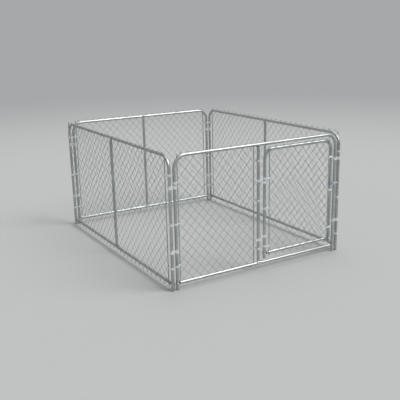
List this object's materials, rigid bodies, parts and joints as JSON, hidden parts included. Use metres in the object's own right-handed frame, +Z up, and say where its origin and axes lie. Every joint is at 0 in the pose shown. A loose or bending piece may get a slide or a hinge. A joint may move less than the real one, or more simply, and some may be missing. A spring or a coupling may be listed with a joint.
{
  "type": "outdoor dog kennel run",
  "caption": "Open-topped chain-link dog run of bent steel tube panels clamped at the corners, with a swing gate and a lifting fork latch in the front panel.",
  "frame": {"origin": "on the ground under the middle of the run, at the bottom centre of its bounding box", "axes": "+X across the front to the side where the gate is, +Y from the front panel to the rear panel, +Z up"},
  "size_m": [1.9484, 2.4624, 1.234],
  "materials": {
    "galvanised_tube": "galvanised, satin",
    "mesh_wire": "galvanised, satin",
    "zinc_fittings": "zinc plated",
    "tie_wire": "drawn wire"
  },
  "bodies": {
    "kennel": {"left_front_post": "galvanised_tube", "left_rear_post": "galvanised_tube", "left_top_rail": "galvanised_tube", "left_front_elbow": "galvanised_tube", "left_rear_elbow": "galvanised_tube", "left_bottom_rail": "galvanised_tube", "left_mid_post": "galvanised_tube", "left_mesh": "mesh_wire", "left_tension_bars": "galvanised_tube", "right_front_post": "galvanised_tube", "right_rear_post": "galvanised_tube", "right_top_rail": "galvanised_tube", "right_front_elbow": "galvanised_tube", "right_rear_elbow": "galvanised_tube", "right_bottom_rail": "galvanised_tube", "right_mid_post": "galvanised_tube", "right_mesh": "mesh_wire", "right_tension_bars": "galvanised_tube", "rear_left_post": "galvanised_tube", "rear_right_post": "galvanised_tube", "rear_top_rail": "galvanised_tube", "rear_left_elbow": "galvanised_tube", "rear_right_elbow": "galvanised_tube", "rear_bottom_rail": "galvanised_tube", "rear_mid_post": "galvanised_tube", "rear_mesh": "mesh_wire", "rear_tension_bars": "galvanised_tube", "front_left_post": "galvanised_tube", "front_right_post": "galvanised_tube", "front_hinge_post": "galvanised_tube", "front_top_rail": "galvanised_tube", "front_left_elbow": "galvanised_tube", "front_right_elbow": "galvanised_tube", "front_bottom_rail": "galvanised_tube", "front_mesh": "mesh_wire", "front_tension_bars": "galvanised_tube", "tension_bands": "zinc_fittings", "band_bolts": "zinc_fittings", "wire_ties": "tie_wire", "rail_bolts": "zinc_fittings", "panel_clamps": "zinc_fittings", "clamp_bolts": "zinc_fittings", "post_hinges": "zinc_fittings"},
    "gate": {"gate_hinge_stile": "galvanised_tube", "gate_latch_stile": "galvanised_tube", "gate_top_rail": "galvanised_tube", "gate_hinge_elbow": "galvanised_tube", "gate_latch_elbow": "galvanised_tube", "gate_bottom_rail": "galvanised_tube", "gate_mesh": "mesh_wire", "gate_tension_bars": "galvanised_tube", "gate_tension_bands": "zinc_fittings", "gate_bolts": "zinc_fittings", "gate_wire_ties": "tie_wire", "gate_rail_bolts": "zinc_fittings", "gate_hinges": "zinc_fittings", "latch_collar": "zinc_fittings", "latch_pivot_bolt": "zinc_fittings"},
    "latch_fork": {"latch_fork": "zinc_fittings"}
  },
  "joints": [
    {"name": "gate_hinge", "type": "hinge", "parent": "kennel", "child": "gate", "pos_m": [0.008, -1.205, 0.583], "axis": [0, 0, -1], "range_deg": [-110, 110]},
    {"name": "latch_pivot", "type": "hinge", "parent": "gate", "child": "latch_fork", "pos_m": [0.87145, -1.205, 0.726], "axis": [0, -1, 0], "range_deg": [0, 90]}
  ]
}
